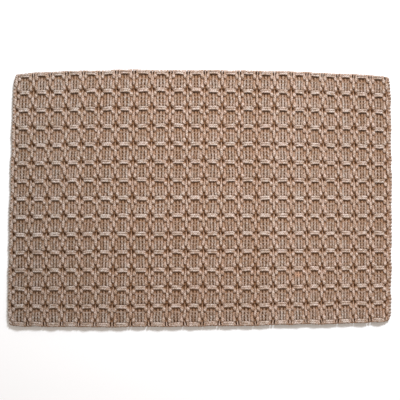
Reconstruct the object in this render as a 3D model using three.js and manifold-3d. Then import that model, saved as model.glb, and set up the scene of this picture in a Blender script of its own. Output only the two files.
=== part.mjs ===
// A flat-woven door mat with a raised honeycomb relief.
//
// A ribbed ground cloth lies on the floor. Its ribs are warp ends that run along Y, six to each repeat of
// the pattern. Two sets of heavier figuring yarn stand on it: pairs of weft that run along X and rise in a
// bar over each sunken panel, and warp ends that run along Y and rise in a pillar between two panels. A
// selvedge cord closes each short side, where the wefts turn back. Each long edge has a flat tape sewn
// under it with two rows of stitching, which holds the cut warp ends.
//
// Units are millimetres and +Z is up. The origin is the centre of the underside, +X runs along the long
// side and +Y along the short one.

import * as THREE from "three";
import { mergeVertices } from "three/addons/utils/BufferGeometryUtils.js";
import Module from "manifold-3d";

// ---- Driving dimensions ---------------------------------------------------------------------------------

const LENGTH = 914; // long side, along X
const WIDTH = 610; // short side, along Y
const THICKNESS = 11; // floor to the top of the raised yarns

const PANELS_ACROSS = 22; // sunken panels along X
const PANELS_DEEP = 14; // sunken panels along Y
const REPEAT_X = 40.6; // one panel and one pillar
const REPEAT_Y = 42.6; // one panel and one bar
const ENDS_PER_REPEAT = 6; // ribs in one repeat along X
const PICKS_PER_REPEAT = 10; // wefts in one repeat along Y

const CLEARANCE = 0.3; // gap between pieces that touch on the real mat

const GROUND_TOP = 7; // crest of the ground cloth's ribs
const RIB_DEPTH = 1.4; // crest to groove
const RIB_SEGMENTS = 3; // flat steps in one rib's curve
const LINK_THICKNESS = 0.8; // figuring yarn where it dips between two raised stretches
const RISE_RUN = 3.2; // length of the slope on which a figuring yarn rises

const PILLAR_WIDTH = 6.5;
const PILLAR_LENGTH = 26; // foot to foot of one raised stretch
const BAR_LENGTH = 25; // foot to foot of one raised stretch

const CORD_WIDTH = 7; // selvedge cord, along X
const CORD_HEIGHT = 8;
const CORD_SEGMENTS = 14;
const CORNER_SETBACK = 8; // the selvedge cord stops short of the mat's corner

const TAPE_WIDTH = 28;
const TAPE_THICKNESS = 1.2;
const TAPE_INSET = 2.5; // tape's outer edge to the mat's long edge
const STITCH_DIAMETER = 0.7;
const STITCH_INSET = 4; // stitch row to the tape's edge
const STITCH_SIDES = 8;
const SEAM_WIDTH = 1.4; // furrow that the stitches pull into the tape
const SEAM_DEPTH = 0.95;
const THREAD_END_GAP = 1; // the thread stops short of the tape's end
const CUT_OVERRUN = 1; // how far a cutting block runs out past the piece

// ---- Values worked out from them ------------------------------------------------------------------------

const endPitch = REPEAT_X / ENDS_PER_REPEAT;
const pickPitch = REPEAT_Y / PICKS_PER_REPEAT;
const barWidth = 2 * pickPitch - CLEARANCE; // two picks side by side
const groundHalfLength = LENGTH / 2 - CORD_WIDTH - CLEARANCE;
const ribCount = PANELS_ACROSS * ENDS_PER_REPEAT + 1;
const barFloor = GROUND_TOP + CLEARANCE;
const barLink = barFloor + LINK_THICKNESS;
const pillarFloor = barLink + CLEARANCE;
const pillarLink = pillarFloor + LINK_THICKNESS;
const tapeCentre = WIDTH / 2 - TAPE_INSET - TAPE_WIDTH / 2;

// ---- Materials ------------------------------------------------------------------------------------------

const groundYarn = new THREE.MeshStandardMaterial({ color: 0x9c7d69, roughness: 0.95, metalness: 0 });
const figureYarn = new THREE.MeshStandardMaterial({ color: 0xc4a795, roughness: 0.92, metalness: 0 });
const edgeYarn = new THREE.MeshStandardMaterial({ color: 0xb3947f, roughness: 0.94, metalness: 0 });
const cottonTape = new THREE.MeshStandardMaterial({ color: 0xa89078, roughness: 0.9, metalness: 0 });
const sewingThread = new THREE.MeshStandardMaterial({ color: 0x8a6f58, roughness: 0.7, metalness: 0 });

// ---- Solid helpers --------------------------------------------------------------------------------------

const wasm = await Module();
wasm.setup();

/** A closed BufferGeometry as a manifold-3d solid. */
function toSolid(geometry) {
  const bare = geometry.clone().deleteAttribute("normal").deleteAttribute("uv");
  const merged = mergeVertices(bare, 1e-4);
  return new wasm.Manifold(
    new wasm.Mesh({
      numProp: 3,
      vertProperties: merged.attributes.position.array,
      triVerts: new Uint32Array(merged.index.array),
    }),
  );
}

/** A manifold-3d solid as a BufferGeometry. */
function toGeometry(solid) {
  const mesh = solid.getMesh();
  const geometry = new THREE.BufferGeometry();
  geometry.setAttribute("position", new THREE.BufferAttribute(mesh.vertProperties, 3));
  geometry.setIndex(new THREE.BufferAttribute(mesh.triVerts, 1));
  geometry.computeVertexNormals();
  return geometry;
}

/** Extrudes an outline drawn in the XZ plane along Y, centred on the XZ plane. */
function extrudeAlongY(outline, width, curveSegments = 1) {
  const geometry = new THREE.ExtrudeGeometry(outline, { depth: width, bevelEnabled: false, curveSegments });
  return geometry.rotateX(Math.PI / 2).translate(0, width / 2, 0);
}

/** Extrudes an outline drawn in the YZ plane along X, centred on the YZ plane. */
function extrudeAlongX(outline, width, curveSegments = 1) {
  return extrudeAlongY(outline, width, curveSegments).rotateZ(Math.PI / 2);
}

/**
 * The side view of a figuring yarn: a flat foot, a thin link, and a raised stretch with sloping ends at
 * each of the given centres along the yarn.
 */
function risingYarn(halfLength, floor, link, centres, stretch) {
  const outline = new THREE.Shape();
  outline.moveTo(-halfLength, floor);
  outline.lineTo(halfLength, floor);
  outline.lineTo(halfLength, link);
  for (const centre of [...centres].reverse()) {
    outline.lineTo(centre + stretch / 2, link);
    outline.lineTo(centre + stretch / 2 - RISE_RUN, THICKNESS);
    outline.lineTo(centre - stretch / 2 + RISE_RUN, THICKNESS);
    outline.lineTo(centre - stretch / 2, link);
  }
  outline.lineTo(-halfLength, link);
  outline.closePath();
  return outline;
}

/** Centres of `count` features spaced evenly about zero. */
const spread = (count, pitch) => Array.from({ length: count }, (_, i) => (i - (count - 1) / 2) * pitch);

const panelCentresX = spread(PANELS_ACROSS, REPEAT_X);
const pillarCentresX = spread(PANELS_ACROSS + 1, REPEAT_X);
const panelCentresY = spread(PANELS_DEEP, REPEAT_Y);
const barCentresY = spread(PANELS_DEEP + 1, REPEAT_Y);

// ---- Pieces ---------------------------------------------------------------------------------------------

const mat = new THREE.Group();

function add(name, geometry, material, x = 0, y = 0) {
  const mesh = new THREE.Mesh(geometry, material);
  mesh.name = name;
  mesh.position.set(x, y, 0);
  mat.add(mesh);
}

const numbered = (name, index) => `${name}_${String(index + 1).padStart(2, "0")}`;

/** The ground cloth: a flat underside and a ribbed face, let in below for the hem tapes. */
function groundCloth() {
  const outline = new THREE.Shape();
  const groove = GROUND_TOP - RIB_DEPTH;
  const crestControl = GROUND_TOP + RIB_DEPTH; // a quadratic curve reaches half way to its control point
  outline.moveTo(-groundHalfLength, 0);
  outline.lineTo(groundHalfLength, 0);
  outline.lineTo(groundHalfLength, groove);
  for (let rib = ribCount - 1; rib >= 0; rib -= 1) {
    const centre = (rib - (ribCount - 1) / 2) * endPitch;
    const left = rib === 0 ? -groundHalfLength : centre - endPitch / 2;
    outline.quadraticCurveTo(centre, crestControl, left, groove);
  }
  outline.closePath();
  const recessWidth = TAPE_WIDTH + CLEARANCE + TAPE_INSET + CUT_OVERRUN;
  const recess = new THREE.BoxGeometry(LENGTH, recessWidth, 2 * (TAPE_THICKNESS + CLEARANCE));
  const recessCentre = tapeCentre - TAPE_WIDTH / 2 - CLEARANCE + recessWidth / 2;
  const cloth = toSolid(extrudeAlongY(outline, WIDTH, RIB_SEGMENTS))
    .subtract(toSolid(recess.clone().translate(0, recessCentre, 0)))
    .subtract(toSolid(recess.clone().translate(0, -recessCentre, 0)));
  return toGeometry(cloth);
}

/** A selvedge cord: an oval cord along a short side, resting on the floor. */
function selvedgeCord() {
  const outline = new THREE.Shape();
  outline.absellipse(0, CORD_HEIGHT / 2, CORD_WIDTH / 2, CORD_HEIGHT / 2, 0, 2 * Math.PI);
  return extrudeAlongY(outline, WIDTH - 2 * CORNER_SETBACK, CORD_SEGMENTS);
}

/** Distances of the two stitch rows from the tape's centre line. */
const seamOffsets = [-1, 1].map((side) => side * (TAPE_WIDTH / 2 - STITCH_INSET));

/** A hem tape, with a furrow in its underside along each stitch row. */
function hemTape() {
  const outline = new THREE.Shape();
  outline.moveTo(-TAPE_WIDTH / 2, 0);
  for (const seam of seamOffsets) {
    outline.lineTo(seam - SEAM_WIDTH / 2, 0);
    outline.lineTo(seam - SEAM_WIDTH / 2, SEAM_DEPTH);
    outline.lineTo(seam + SEAM_WIDTH / 2, SEAM_DEPTH);
    outline.lineTo(seam + SEAM_WIDTH / 2, 0);
  }
  outline.lineTo(TAPE_WIDTH / 2, 0);
  outline.lineTo(TAPE_WIDTH / 2, TAPE_THICKNESS);
  outline.lineTo(-TAPE_WIDTH / 2, TAPE_THICKNESS);
  outline.closePath();
  return extrudeAlongX(outline, 2 * groundHalfLength);
}

/** One row of sewing thread, lying in its furrow. */
function stitchRow() {
  const outline = new THREE.Shape();
  outline.absarc(0, SEAM_DEPTH / 2, STITCH_DIAMETER / 2, 0, 2 * Math.PI);
  return extrudeAlongX(outline, 2 * (groundHalfLength - THREAD_END_GAP), STITCH_SIDES);
}

add("ground_cloth", groundCloth(), groundYarn);

const barOutline = risingYarn(groundHalfLength, barFloor, barLink, panelCentresX, BAR_LENGTH);
const barGeometry = extrudeAlongY(barOutline, barWidth);
barCentresY.forEach((y, i) => add(numbered("bar_weft_pair", i), barGeometry, figureYarn, 0, y));

const pillarOutline = risingYarn(WIDTH / 2, pillarFloor, pillarLink, panelCentresY, PILLAR_LENGTH);
const pillarGeometry = extrudeAlongX(pillarOutline, PILLAR_WIDTH);
pillarCentresX.forEach((x, i) => add(numbered("pillar_warp", i), pillarGeometry, figureYarn, x));

const cordCentre = LENGTH / 2 - CORD_WIDTH / 2;
add("left_selvedge_cord", selvedgeCord(), edgeYarn, -cordCentre);
add("right_selvedge_cord", selvedgeCord(), edgeYarn, cordCentre);

for (const [edge, side] of [["front", -1], ["back", 1]]) {
  add(`${edge}_hem_tape`, hemTape(), cottonTape, 0, side * tapeCentre);
  seamOffsets.forEach((offset, i) => {
    const row = i === 0 ? "outer" : "inner";
    add(`${edge}_${row}_stitches`, stitchRow(), sewingThread, 0, side * (tapeCentre - offset));
  });
}

export default mat;
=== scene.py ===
"""A thick hand-woven cotton door mat.

Ribbed ground cloth carries a brick-like figure: pairs of weft yarns float as short bars, and warp
yarns stand up between them as pillars with two knuckles above and below. Every yarn is a tube of
its own, woven over and under its neighbours.
"""

import math

import bpy
import numpy as np
from mathutils import Euler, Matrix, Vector


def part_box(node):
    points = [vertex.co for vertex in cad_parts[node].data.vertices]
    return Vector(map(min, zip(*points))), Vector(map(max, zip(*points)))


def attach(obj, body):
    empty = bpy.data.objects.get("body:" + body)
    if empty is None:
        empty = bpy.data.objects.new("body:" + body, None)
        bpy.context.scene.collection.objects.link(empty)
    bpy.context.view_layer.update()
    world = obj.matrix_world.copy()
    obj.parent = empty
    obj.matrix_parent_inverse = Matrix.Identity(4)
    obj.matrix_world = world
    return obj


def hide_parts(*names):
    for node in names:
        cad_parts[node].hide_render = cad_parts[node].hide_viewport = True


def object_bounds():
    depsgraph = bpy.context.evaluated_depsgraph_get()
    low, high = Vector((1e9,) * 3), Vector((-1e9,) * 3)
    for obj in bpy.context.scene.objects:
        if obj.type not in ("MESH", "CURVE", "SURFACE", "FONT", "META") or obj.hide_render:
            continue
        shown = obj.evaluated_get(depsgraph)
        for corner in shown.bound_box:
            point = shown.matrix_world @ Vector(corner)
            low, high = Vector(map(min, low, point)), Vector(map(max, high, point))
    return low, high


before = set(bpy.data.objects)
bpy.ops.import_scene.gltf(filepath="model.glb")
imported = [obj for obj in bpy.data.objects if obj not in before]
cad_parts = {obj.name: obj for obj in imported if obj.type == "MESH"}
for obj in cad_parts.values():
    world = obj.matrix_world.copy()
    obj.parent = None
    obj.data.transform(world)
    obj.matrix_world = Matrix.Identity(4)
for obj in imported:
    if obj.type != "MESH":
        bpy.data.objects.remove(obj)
cad_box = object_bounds()

MM = 0.001
SEED = 20

# ---------------------------------------------------------------- camera, lights and floor
# The camera's turn was solved by least squares from the mat's four corners, for the distance chosen.
# Its aim and lens were then set.
CAMERA_DISTANCE = 1.4995
CAMERA_AIM = Vector((-0.0048, -0.0092, 0.0))
CAMERA_TURN = Euler((math.radians(2.5), math.radians(-1.8), 0.0))
CAMERA_LENS = 56.5
KEY_POWER = 64.0
KEY_SIZE = 0.55
KEY_DISTANCE = 2.2
KEY_ELEVATION = math.radians(44)
KEY_SIDE = math.radians(22)
KEY_COLOUR = (0.98, 1.0, 1.05)
ROOM_LIGHT = 0.60
ROOM_COLOUR = (1.0, 0.885, 0.785, 1.0)
FLOOR_SIZE = 40.0
FLOOR_COLOUR = (0.868, 0.895, 0.918, 1.0)


def stand_camera():
    """The camera stands over the middle of the mat, leaning a couple of degrees."""
    data = bpy.data.cameras.new("camera")
    data.lens = CAMERA_LENS
    camera = bpy.data.objects.new("camera", data)
    bpy.context.collection.objects.link(camera)
    back = CAMERA_TURN.to_matrix() @ Vector((0, 0, 1))
    camera.location = CAMERA_AIM + back * CAMERA_DISTANCE
    camera.rotation_euler = CAMERA_TURN
    bpy.context.scene.camera = camera


stand_camera()

# ---------------------------------------------------------------- the weave, measured off the frame
ROWS = 15
PILLARS = 23
PANELS = PILLARS - 1
ENDS_PER_REPEAT = 6
PICKS_PER_REPEAT = 10


def middle(node):
    """The middle of a CAD node's box."""
    low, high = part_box(node)
    return (Vector(low) + Vector(high)) / 2


pillar_left = middle("pillar_warp_01").x
pillar_right = middle("pillar_warp_23").x
bar_front = middle("bar_weft_pair_01").y
bar_back = middle("bar_weft_pair_15").y
END_PITCH = (pillar_right - pillar_left) / PANELS / ENDS_PER_REPEAT
PICK_PITCH = (bar_back - bar_front) / (ROWS - 1) / PICKS_PER_REPEAT
HALF_LENGTH = (cad_box[1].x - cad_box[0].x) / 2
HALF_WIDTH = (cad_box[1].y - cad_box[0].y) / 2
THICKNESS = cad_box[1].z - cad_box[0].z
MID = THICKNESS / 2

ENDS = ENDS_PER_REPEAT * PANELS + 3
PICKS = PICKS_PER_REPEAT * (ROWS - 1) + 2
STEPS = 2
SIDES = 10
SQUARENESS = 2.8
CAP_POINTS = 4

# Heights are in millimetres above the middle of the cloth. A row is one kind of warp end, in the
# order panel middle, panel side, knuckle, pillar, knuckle, panel side; a column is one pick, from
# the two picks of a bar round to the next bar.
RIB = (-2.8, -2.8, 1.0, 0.3, 1.0, 0.2, 0.8, 0.0, 0.1, -1.5)
SIDE_RIB = (-2.8, -2.8, 1.0, 0.3, 1.0, 0.2, 0.7, -0.3, -1.0, -2.5)
KNUCKLE = (-2.4, -2.6, 2.7, 2.4, 0.1, -0.3, -0.9, -2.4, 2.6, 2.3)
PILLAR = (-0.5, -1.8, -2.6, -3.4, 1.8, 2.5, 2.6, 2.3, 0.9, 0.0)
WARP_HEIGHT = np.array([RIB, SIDE_RIB, KNUCKLE, PILLAR, KNUCKLE, SIDE_RIB])

# Half widths and half thicknesses in millimetres, in the same order.
RIB_WIDE = (2.7, 2.7, 2.8, 2.6, 2.8, 2.6, 2.8, 2.6, 2.8, 2.7)
KNUCKLE_WIDE = (2.4, 2.4, 4.0, 3.8, 2.7, 2.7, 2.7, 2.7, 3.9, 4.0)
PILLAR_WIDE = (1.7, 1.6, 1.8, 1.8, 3.2, 3.5, 3.5, 3.4, 2.6, 2.0)
WARP_WIDE = np.array([RIB_WIDE, RIB_WIDE, KNUCKLE_WIDE, PILLAR_WIDE, KNUCKLE_WIDE, RIB_WIDE])
RIB_THICK = (2.1, 2.1, 2.5, 2.2, 2.5, 2.2, 2.5, 2.2, 2.5, 2.1)
KNUCKLE_THICK = (1.1, 1.1, 2.5, 2.5, 2.1, 2.2, 2.1, 2.0, 2.5, 2.5)
PILLAR_THICK = (1.6, 1.4, 1.4, 1.4, 2.4, 2.4, 2.4, 2.4, 2.3, 2.0)
WARP_THICK = np.array([RIB_THICK, RIB_THICK, KNUCKLE_THICK, PILLAR_THICK, KNUCKLE_THICK, RIB_THICK])

# How far each kind of end, and each pick, sits off its even place, in millimetres.
END_SHIFT = np.array((0.0, 0.55, 0.1, 0.0, -0.1, -0.55))
PICK_SHIFT = np.array((-0.15, 0.15, 0.4, 0.3, 0.2, 0.1, -0.1, -0.2, -0.3, -0.4))

# Weft heights: a row is one pick of the repeat, a column one kind of warp end.
WEFT_HEIGHT = np.array(
    [
        (4.0, 3.6, -4.1, -3.9, -4.1, 3.6),
        (4.0, 3.6, -4.1, -3.9, -4.1, 3.6),
        (-2.4, -2.4, -1.4, -1.9, -1.4, -2.4),
        (1.7, 1.6, -1.4, -1.9, -1.4, 1.6),
        (-2.4, -2.4, -1.2, -1.4, -1.2, -2.4),
        (1.9, 1.8, -2.8, -1.2, -2.8, 1.8),
        (-2.4, -2.4, -1.6, -1.2, -1.6, -2.4),
        (1.9, 1.8, -2.8, -1.4, -2.8, 1.8),
        (-2.4, -2.4, -1.4, -1.6, -1.4, -2.4),
        (0.8, 0.7, -1.4, -1.8, -1.4, 0.7),
    ]
)
# Half width and half thickness of a pick: in a bar, over the ribs, under them, and deep under.
ON_BAR = WEFT_HEIGHT > 3
ON_RIBS = WEFT_HEIGHT > 0
WEFT_WIDE = np.where(ON_BAR, 2.45, np.where(ON_RIBS, 1.9, 2.5))
WEFT_THICK = np.where(ON_BAR, 2.2, np.where(ON_RIBS, 0.9, 1.6))
WEFT_THICK = np.where(WEFT_HEIGHT < -3.5, 1.2, WEFT_THICK)
# Between two ribs a ground pick sinks; a bar's shoulder has a height of its own and arches forward.
WEFT_SINK = 2.4
BAR_SHOULDER = 2.7
BAR_ARCH = 0.9
BAR_FROM = 2.9
# The shoulder of a bar gets a little painted shade.
SHOULDER_SHELTER = 0.1

# How sheltered each crossing is, from 0 on crowns to 1 in pits; it sets the painted brown shade.
RIB_SHELTER = (0.65, 0.4, 0.0, 0.0, 0.0, 0.05, 0.1, 0.3, 0.6, 0.65)
SIDE_RIB_SHELTER = (0.65, 0.4, 0.0, 0.0, 0.0, 0.05, 0.2, 0.5, 0.75, 0.7)
KNUCKLE_SHELTER = (0.9, 1.0, 0.18, 0.22, 0.5, 0.55, 0.66, 0.95, 0.2, 0.22)
PILLAR_SHELTER = (0.3, 0.7, 1.0, 1.0, 0.3, 0.16, 0.14, 0.16, 0.38, 0.5)
WARP_SHELTER = np.array(
    [
        RIB_SHELTER,
        SIDE_RIB_SHELTER,
        KNUCKLE_SHELTER,
        PILLAR_SHELTER,
        KNUCKLE_SHELTER,
        SIDE_RIB_SHELTER,
    ]
)
# A pick's painted shade grows the lower it lies, and is deeper in front of each bar.
WEFT_UNSHADED = 2.4
WEFT_SHADE_DEPTH = 4.5
LAST_PICK_SHELTER = 0.65
WEFT_SHELTER = np.clip((WEFT_UNSHADED - WEFT_HEIGHT) / WEFT_SHADE_DEPTH, 0, 1)
WEFT_SHELTER[9] = np.maximum(WEFT_SHELTER[9], LAST_PICK_SHELTER)
# The warp tails along the front edge get painted shade; the outer picks get only a share of theirs.
FRONT_SHELTER = 0.6
OUTER_SHARE = 0.4

# Edge yarns, in millimetres: the selvedge cord, the outer crossings, the loops of weft round the
# cord and the warp's tails. LOOP_TURN is in degrees; TAIL_KEEP and TAIL_SIZE are shares.
CORD_HEIGHT = -0.4
CORD_WIDE = 3.5
CORD_THICK = 2.4
# The selvedge cord's painted shade.
CORD_SHELTER = 0.5
LEFT_CORD_INSET = 8.4
RIGHT_CORD_INSET = 5.2
OUTER_HEIGHT = 2.6
NEXT_HEIGHT = 1.4
WEFT_LOW = -1.6
WEFT_HIGH = 1.8
EDGE_WIDE = 3.3
EDGE_THICK = 1.8
LOOP_REACH = 1.6
LOOP_WIDE = 2.5
LOOP_THICK = 3.0
LOOP_TURN = (25, 50, 75, 97)
TAIL_OUT = (2.4, 3.2, 2.7, 1.0)
TAIL_KEEP = (0.85, 0.4, 0.0, 0.0)
TAIL_HEIGHT = (2.2, 2.2, 1.9, 1.7)
TAIL_SIZE = (0.95, 0.9, 0.7, 0.45)
TAIL_WIDE = 3.5
TAIL_THICK = 2.0

# Unevenness of hand spinning and weaving: heights and places in millimetres, sizes and tone as
# shares.
WARP_ROUGH = 0.32
WARP_SWELL = 0.075
WEFT_ROUGH = 0.2
WEFT_WAVER = 0.28
WEFT_SWELL = 0.06
END_VARIES = 0.035
PICK_VARIES = 0.04
FIGURE_TONE = 0.35

# How far the real cloth is out of square, in millimetres; the noise cells, CORNER_REACH, HEM_START
# and HEM_RAMP are in metres. COLUMN_DRIFT is a list that another program made: its six sizes, and
# SKEW_ACROSS, SKEW_DEEP, TWIST, CORNER_DROP, ROW_SHIFT, ROW_STRETCH and ROW_BOW, are least-squares
# fits to where the real cloth's columns and rows lie. CORNER_PULL, MIDDLE_SPREAD and COLUMN_SHIFT
# began as such fits and were then changed. The rest were chosen.
COLUMN_DRIFT = (2.9, -4.8, -1.4, 1.6, -0.4, 2.0)
COLUMN_SQUEEZE = 0.9
COLUMN_SHIFT = -0.1
MIDDLE_SPREAD = 2.5
ROW_SHIFT = -2.1
ROW_STRETCH = 0.9
ROW_BOW = -1.3
SKEW_ACROSS = 3.7
SKEW_DEEP = 1.6
TWIST = -1.5
CORNER_DROP = 2.3
CORNER_PULL = 6.8
BACK_DROP = 2.2
CORNER_ROUND = 6.0
CORNER_REACH = 0.035
WANDER = 0.8
WANDER_CELLS = (0.055, 0.06)
CELL_WANDER = 1.3
CELL_WANDER_CELLS = (0.019, 0.023)
HEM_START = 0.262
HEM_RAMP = 0.014
HEM_LIFT = 0.7
HEAVE = 0.25
HEAVE_CELL = 0.03
FLOOR_GAP = 0.1
TAPE_TOP = 1.05


def value_noise(x, y, cell, seed):
    """Smooth random values from -1 to 1: random numbers on a square grid of the given cell size,
    blended between grid points with an S-curve in each direction."""
    count = 64
    grid = np.random.default_rng(seed).uniform(-1, 1, (count, count))
    gx, gy = np.asarray(x) / cell + count / 2, np.asarray(y) / cell + count / 2
    ix, iy = np.floor(gx).astype(int), np.floor(gy).astype(int)
    fx, fy = gx - ix, gy - iy
    fx, fy = fx * fx * (3 - 2 * fx), fy * fy * (3 - 2 * fy)
    low = grid[ix % count, iy % count] * (1 - fx) + grid[(ix + 1) % count, iy % count] * fx
    high = grid[ix % count, (iy + 1) % count] * (1 - fx)
    high = high + grid[(ix + 1) % count, (iy + 1) % count] * fx
    return low * (1 - fy) + high * fy


def lay_out(points):
    """Moves points of the square loom layout to where the finished cloth has them: a skew, a series
    of sines along the mat for uneven columns, rows that bow, corners that pull in and round off, two
    sizes of wander, and a smooth step up over each hem."""
    x, y, z = points[..., 0], points[..., 1], points[..., 2]
    a, b = x / HALF_LENGTH, y / HALF_WIDTH
    dx = SKEW_ACROSS * b - COLUMN_SQUEEZE * a + COLUMN_SHIFT
    dx = dx + MIDDLE_SPREAD * a * (0.5 - b * b)
    for k, size in enumerate(COLUMN_DRIFT, 1):
        dx = dx + size * np.sin(k * np.pi * (a + 1) / 2)
    corner = 1 - np.cos(np.pi * a / 2)
    dy = SKEW_DEEP * a + TWIST * a * b - CORNER_DROP * corner - CORNER_PULL * b * corner
    dy = dy - BACK_DROP * corner * (1 + b) / 2
    dy = dy + ROW_SHIFT + ROW_STRETCH * b + ROW_BOW * (1 - b * b)
    near = np.clip((np.abs(x) - HALF_LENGTH) / CORNER_REACH + 1, 0, 1)
    near = near * np.clip((np.abs(y) - HALF_WIDTH) / CORNER_REACH + 1, 0, 1)
    dx = dx - np.sign(x) * CORNER_ROUND * near**2
    dy = dy - np.sign(y) * CORNER_ROUND * near**2
    dx = dx + WANDER * value_noise(x, y, WANDER_CELLS[0], SEED)
    dx = dx + CELL_WANDER * value_noise(x, y, CELL_WANDER_CELLS[0], SEED + 1)
    dy = dy + WANDER * value_noise(x, y, WANDER_CELLS[1], SEED + 2)
    dy = dy + CELL_WANDER * value_noise(x, y, CELL_WANDER_CELLS[1], SEED + 3)
    dz = HEAVE * value_noise(x, y, HEAVE_CELL, SEED + 4)
    hem = np.clip((np.abs(y) - HEM_START) / HEM_RAMP, 0, 1)
    dz = dz + HEM_LIFT * hem * hem * (3 - 2 * hem) * np.clip(z / MID, 0, 1)
    return np.stack([x + dx * MM, y + dy * MM, z + dz * MM], axis=-1)


# ---------------------------------------------------------------- mesh making
def round_profile(sides=SIDES, squareness=SQUARENESS):
    """A soft yarn's section, a superellipse: the cosine and the sine of evenly spaced angles, each
    to the power of two over the squareness, with its own sign. Squareness 2 is a circle."""
    turn = np.arange(sides) / sides * 2 * np.pi
    across, lift = np.cos(turn), np.sin(turn)
    bend = 2 / squareness
    return np.sign(across) * np.abs(across) ** bend, np.sign(lift) * np.abs(lift) ** bend


def flat_profile(columns=15):
    """A tape's section: evenly spaced across, one minus the sixth power of the distance from the
    middle thick, out along the underside and back along the top."""
    across = np.linspace(-1, 1, columns)
    lift = np.maximum(1 - np.abs(across) ** 6, 0.15)
    return np.concatenate([across, across[::-1]]), np.concatenate([-lift, lift])


def carry_profile(path, side, wide, thick, shelter=None, profile=None):
    """A closed profile carried along each path: at each path point, the centre plus the side
    direction times the half width times the profile's first number, plus the upright direction times
    the half thickness times its second. Each end is closed by a fan round one point. path is
    (yarns, points, 3). Also returns how high each point stands on its yarn, from -1 underneath to 1
    at the crown, and how sheltered it is."""
    across, lift = profile or round_profile()
    sides = len(across)
    yarns, count = path.shape[:2]
    along = np.gradient(path, axis=1)
    along /= np.linalg.norm(along, axis=2, keepdims=True)
    side = side - along * np.sum(side * along, axis=2, keepdims=True)
    side /= np.linalg.norm(side, axis=2, keepdims=True)
    upright = np.cross(along, side)
    ring = (
        path[:, :, None]
        + side[:, :, None] * (wide[..., None] * across)[..., None]
        + upright[:, :, None] * (thick[..., None] * lift)[..., None]
    )
    step = np.linalg.norm(np.diff(path, axis=1), axis=2)
    run = np.concatenate([np.zeros((yarns, 1)), np.cumsum(step, axis=1)], axis=1)
    verts = np.concatenate([ring.reshape(yarns, -1, 3), path[:, :1], path[:, -1:]], axis=1)
    rise = (ring[..., 2] - path[..., 2:3]) / thick[..., None]
    rise = np.concatenate([rise.reshape(yarns, -1), np.zeros((yarns, 2))], axis=1)
    shelter = np.zeros((yarns, count)) if shelter is None else shelter
    around = np.repeat(shelter, sides, axis=1)
    shelter = np.concatenate([around, shelter[:, :1], shelter[:, -1:]], axis=1)
    marks = {"yarn_rise": rise.ravel(), "yarn_shelter": shelter.ravel()}
    per_yarn = count * sides + 2

    i, k = np.meshgrid(np.arange(count - 1), np.arange(sides), indexing="ij")
    i, k = i.ravel(), k.ravel()
    nxt = (k + 1) % sides
    quads = np.stack([i * sides + k, i * sides + nxt, (i + 1) * sides + nxt, (i + 1) * sides + k], 1)
    quad_u = np.stack([i, i, i + 1, i + 1], 1)
    quad_v = np.stack([k, k + 1, k + 1, k], 1) / sides
    k = np.arange(sides)
    nxt = (k + 1) % sides
    last = (count - 1) * sides
    start = np.stack([np.full(sides, count * sides), nxt, k], 1)
    finish = np.stack([np.full(sides, count * sides + 1), last + k, last + nxt], 1)
    caps = np.concatenate([start, finish])
    cap_u = np.repeat([0, count - 1], sides)[:, None].repeat(3, 1)
    cap_v = np.concatenate(
        [np.stack([k + 0.5, k + 1, k], 1), np.stack([k + 0.5, k, k + 1], 1)]
    ) / sides

    shift = np.arange(yarns)[:, None] * per_yarn
    corners = np.concatenate([quads.ravel(), caps.ravel()])[None] + shift
    u_index = np.concatenate([quad_u.ravel(), cap_u.ravel()])
    v = np.concatenate([quad_v.ravel(), cap_v.ravel()])
    u = run[:, u_index] / MM
    uv = np.stack([u, np.broadcast_to(v, u.shape)], axis=-1)
    sizes = np.tile(np.concatenate([np.full(len(quads), 4), np.full(len(caps), 3)]), yarns)
    return verts.reshape(-1, 3), corners.ravel(), sizes, uv.reshape(-1, 2), per_yarn, marks


def into_mesh(name, parts, tones):
    """Puts tubes from carry_profile into one mesh, with its map, a tone for each yarn, and the
    tubes' own marks."""
    verts = np.concatenate([p[0] for p in parts])
    offsets = np.cumsum([0] + [len(p[0]) for p in parts[:-1]])
    corners = np.concatenate([p[1] + o for p, o in zip(parts, offsets)])
    sizes = np.concatenate([p[2] for p in parts])
    uv = np.concatenate([p[3] for p in parts])
    tone = np.concatenate([np.repeat(t, p[4]) for p, t in zip(parts, tones)])
    mesh = bpy.data.meshes.new(name)
    mesh.vertices.add(len(verts))
    mesh.vertices.foreach_set("co", verts.astype(np.float32).ravel())
    mesh.loops.add(len(corners))
    mesh.loops.foreach_set("vertex_index", corners.astype(np.int32))
    mesh.polygons.add(len(sizes))
    starts = np.concatenate([[0], np.cumsum(sizes)[:-1]])
    mesh.polygons.foreach_set("loop_start", starts.astype(np.int32))
    mesh.polygons.foreach_set("use_smooth", np.ones(len(sizes), bool))
    layer = mesh.uv_layers.new(name="yarn_map")
    layer.uv.foreach_set("vector", uv.astype(np.float32).ravel())
    marks = {label: np.concatenate([p[5][label] for p in parts]) for label in parts[0][5]}
    for label, values in {"yarn_tone": tone, **marks}.items():
        attribute = mesh.attributes.new(label, "FLOAT", "POINT")
        attribute.data.foreach_set("value", values.astype(np.float32))
    mesh.update(calc_edges=True)
    mesh.validate()
    piece = bpy.data.objects.new(name, mesh)
    bpy.context.collection.objects.link(piece)
    return piece


# ---------------------------------------------------------------- the yarns
end = np.arange(ENDS)
end_kind = (end - 4) % ENDS_PER_REPEAT
end_x = pillar_left + (end - 1) * END_PITCH + END_SHIFT[end_kind] * MM
end_x[0] = -HALF_LENGTH + LEFT_CORD_INSET * MM
end_x[-1] = HALF_LENGTH - RIGHT_CORD_INSET * MM
pick = np.arange(PICKS)
pick_kind = pick % PICKS_PER_REPEAT
pick_y = bar_front + (pick - 0.5) * PICK_PITCH + PICK_SHIFT[pick_kind] * MM

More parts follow.
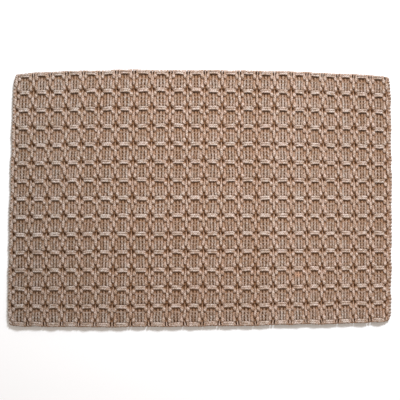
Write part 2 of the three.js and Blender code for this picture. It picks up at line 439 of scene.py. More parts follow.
rng = np.random.default_rng(SEED)
FIGURE_KINDS = (2, 3, 4)
end_tone = rng.normal(0, 1, ENDS) * np.where(np.isin(end_kind, FIGURE_KINDS), FIGURE_TONE, 1)
pick_tone = rng.normal(0, 1, PICKS) * np.where(pick_kind < 2, FIGURE_TONE, 1)
end_size = 1 + rng.normal(0, END_VARIES, ENDS)
pick_size = 1 + rng.normal(0, PICK_VARIES, PICKS)


def between(values, axis):
    """Adds points between neighbours, blended with an S-curve, for STEPS points per crossing."""
    values = np.moveaxis(values, axis, 0)
    place = np.arange((len(values) - 1) * STEPS + 1) / STEPS
    low = np.minimum(np.floor(place).astype(int), len(values) - 2)
    part = (place - low).reshape((-1,) + (1,) * (values.ndim - 1))
    part = part * part * (3 - 2 * part)
    mixed = values[low] * (1 - part) + values[low + 1] * part
    return np.moveaxis(mixed, 0, axis)


def keep_off_floor(path, thick):
    """Lifts each point until the yarn's underside clears the floor, or the hem tape near the long
    edges."""
    over_tape = np.abs(path[..., 1]) > HEM_START
    clear = np.where(over_tape, TAPE_TOP, FLOOR_GAP)
    path[..., 2] = np.maximum(path[..., 2], (thick + clear) * MM)
    return path


def warp_yarns(ends):
    """Warp ends run from front to back. Height, width and thickness at each pick come from the
    weave's tables; past the first and last pick the end turns down, back under and tapers."""
    kinds = end_kind[ends][:, None]
    height = WARP_HEIGHT[kinds, pick_kind[None]].copy()
    wide = WARP_WIDE[kinds, pick_kind[None]].copy()
    thick = WARP_THICK[kinds, pick_kind[None]].copy()
    shelter = WARP_SHELTER[kinds, pick_kind[None]].copy()
    edge = (ends == 0) | (ends == ENDS - 1)
    height[edge] = CORD_HEIGHT
    wide[edge] = CORD_WIDE
    thick[edge] = CORD_THICK
    shelter[edge] = CORD_SHELTER
    outer = np.isin(end_kind[ends], FIGURE_KINDS)[:, None] & ~edge[:, None]
    height[:, [0, -1]] = np.where(outer, OUTER_HEIGHT, height[:, [0, -1]])
    height[:, [1, -2]] = np.where(outer, NEXT_HEIGHT, height[:, [1, -2]])
    shelter[:, [0, 1, -2, -1]] *= OUTER_SHARE
    rough = np.random.default_rng(SEED + 100 + int(ends[0]))
    height += rough.normal(0, WARP_ROUGH, height.shape)
    swell = end_size[ends][:, None] * (1 + rough.normal(0, WARP_SWELL, height.shape))
    wide, thick = wide * swell, thick * swell
    height, wide, thick, shelter = (between(v, 1) for v in (height, wide, thick, shelter))
    y = between(pick_y, 0)
    path = np.zeros(height.shape + (3,))
    path[..., 0] = end_x[ends][:, None] + rough.normal(0, WARP_ROUGH, height.shape) * MM
    path[..., 1] = y[None]
    path[..., 2] = MID + height * MM

    out = np.array(TAIL_OUT) * MM
    keep = np.array(TAIL_KEEP)
    floor = np.array(TAIL_HEIGHT) * MM
    shrink = np.array(TAIL_SIZE)

    def tail(first, sign):
        bend = np.zeros((len(ends), CAP_POINTS, 3))
        bend[..., 0] = first[:, None, 0]
        bend[..., 1] = first[:, None, 1] + sign * out
        bend[..., 2] = first[:, None, 2] * keep + floor * (1 - keep)
        return bend

    front, back = tail(path[:, 0], -1), tail(path[:, -1], 1)
    path = np.concatenate([front[:, ::-1], path, back], axis=1)
    narrow = TAIL_WIDE * shrink * np.ones((len(ends), 1))
    low = TAIL_THICK * shrink * np.ones((len(ends), 1))
    wide = np.concatenate([narrow[:, ::-1], wide, narrow], axis=1)
    thick = np.concatenate([low[:, ::-1], thick, low], axis=1)
    side = np.zeros_like(path)
    side[..., 0] = 1.0
    shelter = np.pad(shelter, ((0, 0), (CAP_POINTS, CAP_POINTS)))
    # Painted shade on the front tails, which face away from the light.
    shelter[:, :CAP_POINTS] = FRONT_SHELTER
    path = keep_off_floor(lay_out(path), thick)
    return carry_profile(path, side, wide * MM, thick * MM, shelter)


def weft_yarns(picks):
    """Weft picks run from left to right. Height, width and thickness at each end come from the
    weave's tables; past the outer ends the pick turns through about a quarter circle to meet its
    neighbour round the edge cord."""
    kinds = pick_kind[picks][:, None]
    height = WEFT_HEIGHT[kinds, end_kind[None]].copy()
    wide = WEFT_WIDE[kinds, end_kind[None]].copy()
    thick = WEFT_THICK[kinds, end_kind[None]].copy()
    shelter = WEFT_SHELTER[kinds, end_kind[None]].copy()
    shelter[:, [0, -1]] = 0.0
    even = (picks % 2 == 0)[:, None]
    height[:, [0, -1]] = np.where(even, WEFT_LOW, WEFT_HIGH)
    wide[:, [0, -1]] = EDGE_WIDE
    thick[:, [0, -1]] = EDGE_THICK
    rough = np.random.default_rng(SEED + 500 + int(picks[0]))
    height += rough.normal(0, WEFT_ROUGH, height.shape)
    swell = pick_size[picks][:, None] * (1 + rough.normal(0, WEFT_SWELL, height.shape))
    wide, thick = wide * swell, thick * swell
    bar = height > BAR_FROM
    ground = (height > 0) & ~bar
    both_ground = ground[:, 1:] & ground[:, :-1]
    bar_end = bar[:, 1:] ^ bar[:, :-1]
    height, wide, thick, shelter = (between(v, 1) for v in (height, wide, thick, shelter))
    height[:, 1::STEPS] -= WEFT_SINK * both_ground
    height[:, 1::STEPS] = np.where(bar_end, BAR_SHOULDER, height[:, 1::STEPS])
    shelter[:, 1::STEPS] = np.where(bar_end, SHOULDER_SHELTER, shelter[:, 1::STEPS])
    x = between(end_x, 0)
    path = np.zeros(height.shape + (3,))
    path[..., 0] = x[None]
    path[..., 1] = pick_y[picks][:, None] + rough.normal(0, WEFT_WAVER, height.shape) * MM
    path[..., 2] = MID + height * MM
    path[:, 1::STEPS, 1] -= BAR_ARCH * MM * bar_end

    angle = np.radians(LOOP_TURN)
    gap = PICK_PITCH / 2

    def turn(first, sign, partner):
        bend = np.zeros((len(picks), CAP_POINTS, 3))
        bend[..., 0] = first[:, None, 0] + sign * LOOP_REACH * MM * np.sin(angle)
        bend[..., 1] = first[:, None, 1] + partner[:, None] * gap * (1 - np.cos(angle))
        bend[..., 2] = first[:, None, 2] * np.cos(angle) + MID * (1 - np.cos(angle))
        return bend

    right_partner = np.where(picks % 2 == 0, 1, -1)
    left_partner = np.where(picks % 2 == 0, -1, 1)
    left_partner = np.where(picks == 0, 1, np.where(picks == PICKS - 1, -1, left_partner))
    left, right = turn(path[:, 0], -1, left_partner), turn(path[:, -1], 1, right_partner)
    path = np.concatenate([left[:, ::-1], path, right], axis=1)
    round_wide = np.full((len(picks), CAP_POINTS), LOOP_WIDE)
    round_thick = np.full((len(picks), CAP_POINTS), LOOP_THICK)
    wide = np.concatenate([round_wide, wide, round_wide], axis=1)
    thick = np.concatenate([round_thick, thick, round_thick], axis=1)
    path = keep_off_floor(lay_out(path), thick)
    along = np.gradient(path, axis=1)
    side = np.cross(np.array((0.0, 0.0, 1.0)), along)
    shelter = np.pad(shelter, ((0, 0), (CAP_POINTS, CAP_POINTS)))
    return carry_profile(path, side, wide * MM, thick * MM, shelter)


# ---------------------------------------------------------------- finishes
PLIES = 3.0
CROWN_POWER = 0.9
FIBRE_STRETCH = (0.55, 14.0, 1.0)
SPECKLE_SCALE = 900.0
CAST_SCALE = 55.0
CAST_CONTRAST = 3.0
SHADE_SCALE = 210.0
DEPTH_CONTRAST = 4.2
TONE_TO_CAST = 0.06
TONE_TO_DEPTH = 0.05
# Noise that breaks up the painted shade low in the weave.
DEPTH_SHADE_SCALE = 420.0
DEPTH_SHADE_BREAK = 0.6
DEPTH_SHADE_EVEN = 0.7

# A painted pool of light over the whole mat, in shares of its half length and half width.
POOL_MIDDLE = 0.17
POOL_NARROW = 0.86
POOL_EDGE = 0.5
POOL_SIZE = 0.16
POOL_BASE = 0.88
POOL_TWIST = 0.08
LEFT_FROM = -0.2
LEFT_LENGTH = 0.75


def new_group(name, inputs, outputs):
    """An empty shader node group with the given inputs and outputs, each (name, kind, value)."""
    group = bpy.data.node_groups.new(name, "ShaderNodeTree")
    for label, kind, value in inputs:
        socket = group.interface.new_socket(label, in_out="INPUT", socket_type=kind)
        if value is not None:
            socket.default_value = value
    for label, kind in outputs:
        group.interface.new_socket(label, in_out="OUTPUT", socket_type=kind)
    return group, group.nodes.new("NodeGroupInput"), group.nodes.new("NodeGroupOutput")


def maths(tree, operation, first, second=None, clamp=False):
    """One Math node fed by sockets or numbers; returns its output."""
    node = tree.nodes.new("ShaderNodeMath")
    node.operation = operation
    node.use_clamp = clamp
    for socket, value in zip(node.inputs, (first, second)):
        if value is None:
            continue
        if isinstance(value, (int, float)):
            socket.default_value = value
        else:
            tree.links.new(value, socket)
    return node.outputs[0]


def scaled(tree, value, times, plus, clamp=False):
    """A value times one number, plus another."""
    return maths(tree, "ADD", maths(tree, "MULTIPLY", value, times), plus, clamp)


def ramp(tree, value, start, slope):
    """The value less a start, times a slope, held between zero and one."""
    return maths(tree, "MULTIPLY", maths(tree, "SUBTRACT", value, start), slope, True)


def noise(tree, vector, scale, detail, roughness):
    """One Noise Texture node read at the given vector; returns its value output."""
    node = tree.nodes.new("ShaderNodeTexNoise")
    tree.links.new(vector, node.inputs["Vector"])
    if isinstance(scale, (int, float)):
        node.inputs["Scale"].default_value = scale
    else:
        tree.links.new(scale, node.inputs["Scale"])
    node.inputs["Detail"].default_value = detail
    node.inputs["Roughness"].default_value = roughness
    return node.outputs["Fac"]


def ply_twist_group():
    """Plies wound round a yarn: a sine of the distance along the yarn over the lay plus the place
    round it, times the number of plies. Zero is the groove between two plies, one their crown."""
    group, start, finish = new_group(
        "ply_twist",
        [
            ("Map", "NodeSocketVector", None),
            ("Plies", "NodeSocketFloat", PLIES),
            ("Lay", "NodeSocketFloat", 12.0),
        ],
        [("Crown", "NodeSocketFloat")],
    )
    split = group.nodes.new("ShaderNodeSeparateXYZ")
    group.links.new(start.outputs["Map"], split.inputs[0])
    along = maths(group, "DIVIDE", split.outputs["X"], start.outputs["Lay"])
    phase = maths(group, "ADD", along, split.outputs["Y"])
    phase = maths(group, "MULTIPLY", phase, start.outputs["Plies"])
    wave = maths(group, "SINE", maths(group, "MULTIPLY", phase, math.pi))
    crown = maths(group, "POWER", maths(group, "ABSOLUTE", wave), CROWN_POWER)
    group.links.new(crown, finish.inputs["Crown"])
    return group


def spun_fibre_group():
    """Loose cotton fibre: fine noise drawn out along the yarn's map, over a speckle read in the
    cloth's own space."""
    group, start, finish = new_group(
        "spun_fibre",
        [
            ("Map", "NodeSocketVector", None),
            ("Place", "NodeSocketVector", None),
            ("Fineness", "NodeSocketFloat", 1.0),
        ],
        [("Fibre", "NodeSocketFloat"), ("Speckle", "NodeSocketFloat")],
    )
    stretch = group.nodes.new("ShaderNodeVectorMath")
    stretch.operation = "MULTIPLY"
    group.links.new(start.outputs["Map"], stretch.inputs[0])
    stretch.inputs[1].default_value = FIBRE_STRETCH
    fibre = noise(group, stretch.outputs[0], start.outputs["Fineness"], 3.0, 0.65)
    speckle = noise(group, start.outputs["Place"], SPECKLE_SCALE, 2.0, 0.6)
    group.links.new(fibre, finish.inputs["Fibre"])
    group.links.new(speckle, finish.inputs["Speckle"])
    return group


def heather_group():
    """Uneven dyeing: slow noise in the cloth's space picks between a pink-brown and a grey-green
    cast, plus the tone of each yarn."""
    group, start, finish = new_group(
        "heather",
        [("Place", "NodeSocketVector", None), ("Tone", "NodeSocketFloat", 0.0)],
        [("Cast", "NodeSocketFloat"), ("Depth", "NodeSocketFloat")],
    )
    patch = noise(group, start.outputs["Place"], CAST_SCALE, 2.0, 0.6)
    cast = maths(group, "ADD", patch, maths(group, "MULTIPLY", start.outputs["Tone"], TONE_TO_CAST))
    cast = maths(group, "SUBTRACT", cast, 0.5)
    cast = scaled(group, cast, CAST_CONTRAST, 0.5, True)
    shade = noise(group, start.outputs["Place"], SHADE_SCALE, 2.5, 0.65)
    depth = maths(group, "ADD", shade, maths(group, "MULTIPLY", start.outputs["Tone"], TONE_TO_DEPTH))
    depth = maths(group, "SUBTRACT", depth, 0.5)
    depth = scaled(group, depth, DEPTH_CONTRAST, 0.5, True)
    group.links.new(cast, finish.inputs["Cast"])
    group.links.new(depth, finish.inputs["Depth"])
    return group


def light_pool_and_left_group():
    """Slow changes over the whole mat. Light is a painted pool of light, highest a little right of
    the middle, lower towards the ends and long edges, and different between opposite corners; Left
    rises from nothing near the middle to one at the left end."""
    group, start, finish = new_group(
        "painted_light_pool_and_left_cast",
        [("Place", "NodeSocketVector", None)],
        [("Light", "NodeSocketFloat"), ("Left", "NodeSocketFloat")],
    )
    split = group.nodes.new("ShaderNodeSeparateXYZ")
    group.links.new(start.outputs["Place"], split.inputs[0])
    along = maths(group, "DIVIDE", split.outputs["X"], HALF_LENGTH)
    across = maths(group, "DIVIDE", split.outputs["Y"], HALF_WIDTH)
    away = maths(group, "MULTIPLY", maths(group, "SUBTRACT", along, POOL_MIDDLE), POOL_NARROW)
    bump = maths(group, "SUBTRACT", 1.0, maths(group, "MULTIPLY", away, away), True)
    edge = maths(group, "MULTIPLY", maths(group, "MULTIPLY", across, across), POOL_EDGE)
    bump = maths(group, "MULTIPLY", bump, maths(group, "SUBTRACT", 1.0, edge))
    twist = maths(group, "MULTIPLY", maths(group, "MULTIPLY", along, across), POOL_TWIST)
    light = maths(group, "SUBTRACT", scaled(group, bump, POOL_SIZE, POOL_BASE), twist)
    left = ramp(group, along, LEFT_FROM, -1 / LEFT_LENGTH)
    group.links.new(light, finish.inputs["Light"])
    group.links.new(left, finish.inputs["Left"])
    return group


def depth_shade_group():
    """Painted brown shade low in the weave: full below the low height, none above the high one,
    broken up by noise."""
    group, start, finish = new_group(
        "painted_depth_shade",
        [
            ("Place", "NodeSocketVector", None),
            ("Low", "NodeSocketFloat", 0.004),
            ("High", "NodeSocketFloat", 0.009),
        ],
        [("LowShade", "NodeSocketFloat")],
    )
    split = group.nodes.new("ShaderNodeSeparateXYZ")
    group.links.new(start.outputs["Place"], split.inputs[0])
    span = maths(group, "SUBTRACT", start.outputs["High"], start.outputs["Low"])
    rise = maths(group, "SUBTRACT", start.outputs["High"], split.outputs["Z"])
    level = maths(group, "DIVIDE", rise, span, clamp=True)
    broken = noise(group, start.outputs["Place"], DEPTH_SHADE_SCALE, 2.0, 0.6)
    broken = scaled(group, broken, DEPTH_SHADE_BREAK, DEPTH_SHADE_EVEN)
    low_shade = maths(group, "MULTIPLY", level, broken, clamp=True)
    group.links.new(low_shade, finish.inputs["LowShade"])
    return group


# The dye multiplied where it is deep and where it is faint, and painted shade in the ply grooves.
LIGHT_DYE = (1.24, 1.24, 1.25)
DARK_DYE = (0.70, 0.58, 0.47)
PLY_GROOVE_SHADE = (0.48, 0.37, 0.29)
CROWN_SHARE = 0.85
STREAK_SHARE = 1.1
SPECK_SHARE = 0.9

# Painted shade: brown on flanks, low down and where sheltered, dark in the pits, little underneath.
SHADE_BROWN = (0.27, 0.132, 0.058)
DEPTH_SHADE_LOW = 0.0035
DEPTH_SHADE_HIGH = 0.0095
SHADE_MOST = 0.95
FLANK_TOP = 0.88
FLANK_FALL = 1.2
UPPER_FROM = -0.55
UPPER_RISE = 2.2
UNDER_SHADE = 0.2
PIT_COLOUR = (0.12, 0.056, 0.026)
PIT_FROM = 0.65
PIT_RISE = 1.9

# One yarn has a short tan slub; the left end of the mat has a greener cast.
SLUB_PLACE = (0.2285, -0.1850, 0.0105)
SLUB_REACH = 0.0105
SLUB_COLOUR = (0.45, 0.27, 0.18)
LEFT_CAST = (0.94, 1.0, 1.04)

# The surface of spun cotton.
ROUGH_LEAST = 0.80
ROUGH_SPREAD = 0.14
COTTON_SPECULAR = 0.05
COTTON_SHEEN = 0.04
SHEEN_ROUGHNESS = 0.6
SHEEN_COLOUR = (0.85, 0.62, 0.48, 1.0)
PLY_HEIGHT = 0.55
FIBRE_HEIGHT = 0.5
SPECKLE_HEIGHT = 0.3
YARN_BUMP = 0.0009

PLY_TWIST = ply_twist_group()
SPUN_FIBRE = spun_fibre_group()
HEATHER = heather_group()
LIGHT_POOL_AND_LEFT = light_pool_and_left_group()
DEPTH_SHADE_NODES = depth_shade_group()


def place_group(tree, group, **values):
    """Puts a node group in a material and feeds its inputs from sockets or numbers."""
    node = tree.nodes.new("ShaderNodeGroup")
    node.node_tree = group
    for label, value in values.items():
        if isinstance(value, (int, float)):
            node.inputs[label].default_value = value
        else:
            tree.links.new(value, node.inputs[label])
    return node


def blend_colours(tree, share, first, second, mode="MIX"):
    """One colour Mix node; first and second are sockets or colours."""
    node = tree.nodes.new("ShaderNodeMix")
    node.data_type = "RGBA"
    node.blend_type = mode
    for socket, value in ((node.inputs[0], share), (node.inputs[6], first), (node.inputs[7], second)):
        if isinstance(value, (int, float)):
            socket.default_value = value
        elif isinstance(value, tuple):
            socket.default_value = (*value, 1.0)
        else:
            tree.links.new(value, socket)
    return node.outputs[2]


def point_mark(tree, label):
    """Reads one of the marks that into_mesh writes."""
    node = tree.nodes.new("ShaderNodeAttribute")
    node.attribute_name = label
    return node.outputs["Fac"]


def dye_and_groove_shade(tree, dyed, twist, fibre, pink, grey):
    """The yarn's colour: a mix of two casts, darker and lighter by the depth of the dye, with painted
    shade in the grooves between plies, and streaked by fibre."""
    colour = blend_colours(tree, dyed.outputs["Cast"], pink, grey)
    light = blend_colours(tree, 1.0, colour, LIGHT_DYE, "MULTIPLY")
    dark = blend_colours(tree, 1.0, colour, DARK_DYE, "MULTIPLY")
    colour = blend_colours(tree, dyed.outputs["Depth"], dark, light)
    groove = blend_colours(tree, 1.0, colour, PLY_GROOVE_SHADE, "MULTIPLY")
    crown = scaled(tree, twist.outputs["Crown"], CROWN_SHARE, 1 - CROWN_SHARE)
    colour = blend_colours(tree, crown, groove, colour)
    streak = maths(tree, "SUBTRACT", fibre.outputs["Fibre"], 0.5)
    streak = scaled(tree, streak, STREAK_SHARE, 1.0)
    speck = maths(tree, "SUBTRACT", fibre.outputs["Speckle"], 0.5)
    streak = maths(tree, "ADD", streak, maths(tree, "MULTIPLY", speck, SPECK_SHARE))
    return blend_colours(tree, 1.0, colour, streak, "MULTIPLY")


def painted_shade_cotton(tree, colour, low_shade, flank_share):
    """Painted brown shade over the yarn's colour: on the flanks of each yarn, by the greater of its
    depth in the weave and its shelter, and darker in the pits. A yarn's underside gets only a little."""
    rise = point_mark(tree, "yarn_rise")
    shelter = point_mark(tree, "yarn_shelter")
    upper = ramp(tree, rise, UPPER_FROM, UPPER_RISE)
    flank = maths(tree, "MULTIPLY", ramp(tree, rise, FLANK_TOP, -FLANK_FALL), flank_share)
    flank = maths(tree, "MULTIPLY", flank, upper)
    colour = blend_colours(tree, flank, colour, SHADE_BROWN)
    shade_share = maths(tree, "MAXIMUM", low_shade.outputs["LowShade"], shelter)
    shade_share = maths(tree, "MULTIPLY", shade_share, SHADE_MOST)
    shade_share = maths(tree, "MULTIPLY", shade_share, scaled(tree, upper, 1 - UNDER_SHADE, UNDER_SHADE))
    colour = blend_colours(tree, shade_share, colour, SHADE_BROWN)
    pit = maths(tree, "MULTIPLY", ramp(tree, shelter, PIT_FROM, PIT_RISE), upper)
    return blend_colours(tree, pit, colour, PIT_COLOUR)


def placed_shades(tree, colour, place):
    """Colours that belong to places on the mat: the slub, a painted pool of light, and the left end's
    cast.
    """
    away = tree.nodes.new("ShaderNodeVectorMath")
    away.operation = "DISTANCE"
    tree.links.new(place, away.inputs[0])
    away.inputs[1].default_value = SLUB_PLACE
    slub = ramp(tree, away.outputs["Value"], SLUB_REACH, -2 / SLUB_REACH)
    colour = blend_colours(tree, slub, colour, SLUB_COLOUR)
    light_pool_and_left = place_group(tree, LIGHT_POOL_AND_LEFT, Place=place)
    colour = blend_colours(tree, 1.0, colour, light_pool_and_left.outputs["Light"], "MULTIPLY")
    return blend_colours(tree, light_pool_and_left.outputs["Left"], colour, LEFT_CAST, "MULTIPLY")


def yarn_finish(name, pink, grey, lay, bump, flank_share):
    """Soft three-ply cotton yarn: its dye, painted shade, a painted pool of light and other placed
    colours, and a matte surface with a faint sheen. The lay is the length of one full turn of a ply,
    in millimetres."""
    material = bpy.data.materials.new(name)
    material.use_nodes = True
    tree = material.node_tree
    shader = tree.nodes["Principled BSDF"]
    place = tree.nodes.new("ShaderNodeTexCoord").outputs["Object"]
    yarn_map = tree.nodes.new("ShaderNodeUVMap")
    yarn_map.uv_map = "yarn_map"
    tone = point_mark(tree, "yarn_tone")

    twist = place_group(tree, PLY_TWIST, Map=yarn_map.outputs[0], Plies=PLIES, Lay=lay)
    fibre = place_group(tree, SPUN_FIBRE, Map=yarn_map.outputs[0], Place=place, Fineness=1.0)
    dyed = place_group(tree, HEATHER, Place=place, Tone=tone)
    low_shade = place_group(tree, DEPTH_SHADE_NODES, Place=place, Low=DEPTH_SHADE_LOW, High=DEPTH_SHADE_HIGH)
    colour = dye_and_groove_shade(tree, dyed, twist, fibre, pink, grey)
    colour = painted_shade_cotton(tree, colour, low_shade, flank_share)
    colour = placed_shades(tree, colour, place)
    tree.links.new(colour, shader.inputs["Base Color"])

    roughness = scaled(tree, fibre.outputs["Fibre"], ROUGH_SPREAD, ROUGH_LEAST)
    tree.links.new(roughness, shader.inputs["Roughness"])
    shader.inputs["Specular IOR Level"].default_value = COTTON_SPECULAR
    shader.inputs["Sheen Weight"].default_value = COTTON_SHEEN
    shader.inputs["Sheen Roughness"].default_value = SHEEN_ROUGHNESS
    shader.inputs["Sheen Tint"].default_value = SHEEN_COLOUR

    height = maths(tree, "MULTIPLY", twist.outputs["Crown"], PLY_HEIGHT)
    fibre_height = maths(tree, "MULTIPLY", fibre.outputs["Fibre"], FIBRE_HEIGHT)
    height = maths(tree, "ADD", height, fibre_height)
    speckle_height = maths(tree, "MULTIPLY", fibre.outputs["Speckle"], SPECKLE_HEIGHT)
    height = maths(tree, "ADD", height, speckle_height)
    raised = tree.nodes.new("ShaderNodeBump")
    raised.inputs["Strength"].default_value = bump
    raised.inputs["Distance"].default_value = YARN_BUMP
    tree.links.new(height, raised.inputs["Height"])
    tree.links.new(raised.outputs[0], shader.inputs["Normal"])
    return material


GROUND_PINK = (0.44, 0.371, 0.334)
GROUND_GREY = (0.402, 0.365, 0.33)
FIGURE_PINK = (0.538, 0.458, 0.42)
FIGURE_GREY = (0.508, 0.458, 0.418)
EDGE_PINK = (0.45, 0.345, 0.295)
EDGE_GREY = (0.42, 0.345, 0.30)
ground_cotton = yarn_finish(
    "ground_cotton", GROUND_PINK, GROUND_GREY, lay=12.0, bump=0.8, flank_share=0.9
)
figure_cotton = yarn_finish(
    "figure_cotton", FIGURE_PINK, FIGURE_GREY, lay=14.4, bump=0.8, flank_share=0.6
)
edge_cotton = yarn_finish(
    "edge_cotton", EDGE_PINK, EDGE_GREY, lay=12.0, bump=0.8, flank_share=0.6
)


# ---------------------------------------------------------------- the woven pieces
def finish_piece(piece, material, slot, *nodes):
    """Gives a piece its finish and ties it to the frame."""
    piece.data.materials.append(material)
    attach(piece, "root")
    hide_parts(*nodes)


for i in range(PILLARS):
    first = ENDS_PER_REPEAT * i
    ends = np.array([n for n in (first, first + 1, first + 2) if 0 < n < ENDS - 1])
    piece = into_mesh(f"pillar_warp_yarns_{i + 1:02d}", [warp_yarns(ends)], [end_tone[ends]])
    finish_piece(piece, figure_cotton, "figure_yarn", f"pillar_warp_{i + 1:02d}")

for i in range(PANELS):
    ends = ENDS_PER_REPEAT * i + np.array((3, 4, 5))
    piece = into_mesh(f"panel_warp_yarns_{i + 1:02d}", [warp_yarns(ends)], [end_tone[ends]])
    finish_piece(piece, ground_cotton, "ground_yarn", "ground_cloth")

for i in range(ROWS):
    picks = PICKS_PER_REPEAT * i + np.array((0, 1))
    piece = into_mesh(f"bar_weft_yarns_{i + 1:02d}", [weft_yarns(picks)], [pick_tone[picks]])
    finish_piece(piece, figure_cotton, "figure_yarn", f"bar_weft_pair_{i + 1:02d}")

for i in range(ROWS - 1):
    picks = PICKS_PER_REPEAT * i + np.arange(2, PICKS_PER_REPEAT)
    piece = into_mesh(f"ground_weft_yarns_{i + 1:02d}", [weft_yarns(picks)], [pick_tone[picks]])
    finish_piece(piece, ground_cotton, "ground_yarn", "ground_cloth")

for name, n in (("left_selvedge_cord", 0), ("right_selvedge_cord", ENDS - 1)):
    ends = np.array((n,))
    piece = into_mesh(name.replace("cord", "yarn"), [warp_yarns(ends)], [end_tone[ends]])
    finish_piece(piece, edge_cotton, "edge_yarn", name)

# ---------------------------------------------------------------- hems underneath
# Tape, stitches and thread in millimetres; RIBBON_MIDDLE, TWILL_PITCH and TAPE_BUMP in metres.
TAPE_THICK = 0.28
TAPE_CENTRE = 0.72
TAPE_STEPS = 260
STITCH = 5.0
STITCH_POINTS = 8
THREAD = 0.26
THREAD_LOW = 0.3
THREAD_DIP = 0.4
DIP_FROM = 0.3
RIBBON_MIDDLE = 0.2885
TWILL_PITCH = 0.0016
TAPE_BUMP = 0.0003
TAPE_STRENGTH = 0.7
TAPE_SPECKLE = 0.4
TAPE_ROUGH_LEAST = 0.78
TAPE_ROUGH_SPREAD = 0.15
TAPE_SPECULAR = 0.1
TAPE_DARK = (0.40, 0.30, 0.22)
TAPE_LIGHT = (0.47, 0.36, 0.27)
TAPE_GROOVE_SHADE = (0.7, 0.64, 0.58)
THREAD_PINK = (0.36, 0.25, 0.18)
THREAD_GREY = (0.33, 0.24, 0.18)


def along_mat(node, steps):
    """Evenly spaced places from the left to the right end of a CAD node, and the node's box."""
    low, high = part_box(node)
    return np.linspace(low[0], high[0], steps), Vector(low), Vector(high)


def hem_tape(node):
    """A woven tape laid flat along a long edge, following the cloth: its flat section carried along
    a straight line that is laid out like the weave."""
    x, low, high = along_mat(node, TAPE_STEPS)
    path = np.zeros((1, len(x), 3))
    path[0, :, 0], path[0, :, 1] = x, (low.y + high.y) / 2
    path = lay_out(path)
    path[..., 2] = TAPE_CENTRE * MM
    side = np.zeros_like(path)
    side[..., 1] = 1.0
    wide = np.full((1, len(x)), (high.y - low.y) / 2)
    thick = np.full((1, len(x)), TAPE_THICK * MM)
    tube = carry_profile(path, side, wide, thick, None, flat_profile())
    return into_mesh(node.replace("_tape", "_ribbon"), [tube], [np.zeros(1)])


def stitch_row(node):
    """Running stitch: thread that lies just under the tape for most of each stitch and dips up into
    it between stitches, a clipped cosine of the distance along the seam."""
    low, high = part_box(node)
    count = int((high[0] - low[0]) / (STITCH * MM)) * STITCH_POINTS
    x, low, high = along_mat(node, count)
    path = np.zeros((1, count, 3))
    path[0, :, 0], path[0, :, 1] = x, (low.y + high.y) / 2
    path = lay_out(path)
    dip = np.clip((np.cos(2 * np.pi * x / (STITCH * MM)) - DIP_FROM) / (1 - DIP_FROM), 0, 1)
    path[0, :, 2] = (THREAD_LOW + THREAD_DIP * dip) * MM
    side = np.zeros_like(path)
    side[..., 1] = 1.0
    size = np.full((1, count), THREAD * MM)
    tube = carry_profile(path, side, size, size, None, round_profile(6, 2))
    return into_mesh(node + "_thread", [tube], [np.zeros(1)])


def tape_finish():
    """Cotton twill tape: slanting ribs that change direction down the middle, with painted shade in
    the grooves between them, fibre and a warm unbleached colour."""
    material = bpy.data.materials.new("cotton_twill_tape")
    material.use_nodes = True
    tree = material.node_tree
    shader = tree.nodes["Principled BSDF"]
    place = tree.nodes.new("ShaderNodeTexCoord").outputs["Object"]
    tape_map = tree.nodes.new("ShaderNodeUVMap")
    tape_map.uv_map = "yarn_map"
    split = tree.nodes.new("ShaderNodeSeparateXYZ")
    tree.links.new(place, split.inputs[0])
    away = maths(tree, "ABSOLUTE", split.outputs["Y"])
    bend = maths(tree, "ABSOLUTE", maths(tree, "SUBTRACT", away, RIBBON_MIDDLE))
    slant = maths(tree, "ADD", split.outputs["X"], bend)
    ribs = maths(tree, "SINE", maths(tree, "MULTIPLY", slant, 2 * math.pi / TWILL_PITCH))
    ribs = scaled(tree, ribs, 0.5, 0.5)
    fibre = place_group(tree, SPUN_FIBRE, Map=tape_map.outputs[0], Place=place, Fineness=0.8)
    dyed = place_group(tree, HEATHER, Place=place, Tone=0.0)
    colour = blend_colours(tree, dyed.outputs["Depth"], TAPE_DARK, TAPE_LIGHT)
    # Painted shade in the grooves between the twill ribs.
    grooves = blend_colours(tree, 1.0, colour, TAPE_GROOVE_SHADE, "MULTIPLY")
    colour = blend_colours(tree, ribs, grooves, colour)
    tree.links.new(colour, shader.inputs["Base Color"])
    rough = scaled(tree, fibre.outputs["Speckle"], TAPE_ROUGH_SPREAD, TAPE_ROUGH_LEAST)
    tree.links.new(rough, shader.inputs["Roughness"])
    shader.inputs["Specular IOR Level"].default_value = TAPE_SPECULAR
    speckle = maths(tree, "MULTIPLY", fibre.outputs["Speckle"], TAPE_SPECKLE)
    height = maths(tree, "ADD", ribs, speckle)
    raised = tree.nodes.new("ShaderNodeBump")
    raised.inputs["Strength"].default_value = TAPE_STRENGTH
    raised.inputs["Distance"].default_value = TAPE_BUMP
    tree.links.new(height, raised.inputs["Height"])
    tree.links.new(raised.outputs[0], shader.inputs["Normal"])
    return material


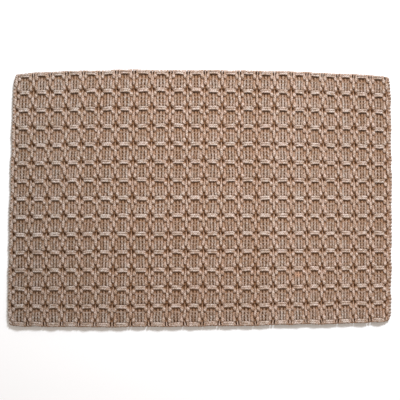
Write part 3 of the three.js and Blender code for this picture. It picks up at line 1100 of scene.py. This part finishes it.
twill_tape = tape_finish()
thread_cotton = yarn_finish(
    "sewing_thread", THREAD_PINK, THREAD_GREY, lay=2.0, bump=0.3, flank_share=0.3
)
for place in ("front", "back"):
    tape = hem_tape(f"{place}_hem_tape")
    finish_piece(tape, twill_tape, "hem_tape", f"{place}_hem_tape")
    for line in ("outer", "inner"):
        seam = stitch_row(f"{place}_{line}_stitches")
        finish_piece(seam, thread_cotton, "sewing_thread", f"{place}_{line}_stitches")


# ---------------------------------------------------------------- floor and light
def floor_finish():
    """Smooth, matte, pale floor."""
    material = bpy.data.materials.new("pale_floor")
    material.use_nodes = True
    shader = material.node_tree.nodes["Principled BSDF"]
    shader.inputs["Base Color"].default_value = FLOOR_COLOUR
    shader.inputs["Roughness"].default_value = 0.9
    shader.inputs["Specular IOR Level"].default_value = 0.1
    return material


floor_mesh = bpy.data.meshes.new("floor")
corner = FLOOR_SIZE / 2
floor_mesh.from_pydata(
    [(-corner, -corner, 0), (corner, -corner, 0), (corner, corner, 0), (-corner, corner, 0)],
    [],
    [(0, 1, 2, 3)],
)
floor_mesh.materials.append(floor_finish())
floor_piece = bpy.data.objects.new("floor", floor_mesh)
bpy.context.collection.objects.link(floor_piece)

key_data = bpy.data.lights.new("soft_box", "AREA")
key_data.shape = "DISK"
key_data.size = KEY_SIZE
key_data.energy = KEY_POWER
key_data.color = KEY_COLOUR
key = bpy.data.objects.new("soft_box", key_data)
towards = Vector(
    (
        math.cos(KEY_ELEVATION) * math.sin(KEY_SIDE),
        math.cos(KEY_ELEVATION) * math.cos(KEY_SIDE),
        math.sin(KEY_ELEVATION),
    )
)
key.location = towards * KEY_DISTANCE
key.rotation_euler = towards.to_track_quat("Z", "Y").to_euler()
bpy.context.collection.objects.link(key)

world = bpy.data.worlds.new("studio")
bpy.context.scene.world = world
world.use_nodes = True
background = world.node_tree.nodes["Background"]
background.inputs["Color"].default_value = ROOM_COLOUR
background.inputs["Strength"].default_value = ROOM_LIGHT
bpy.context.scene.view_settings.view_transform = "Standard"
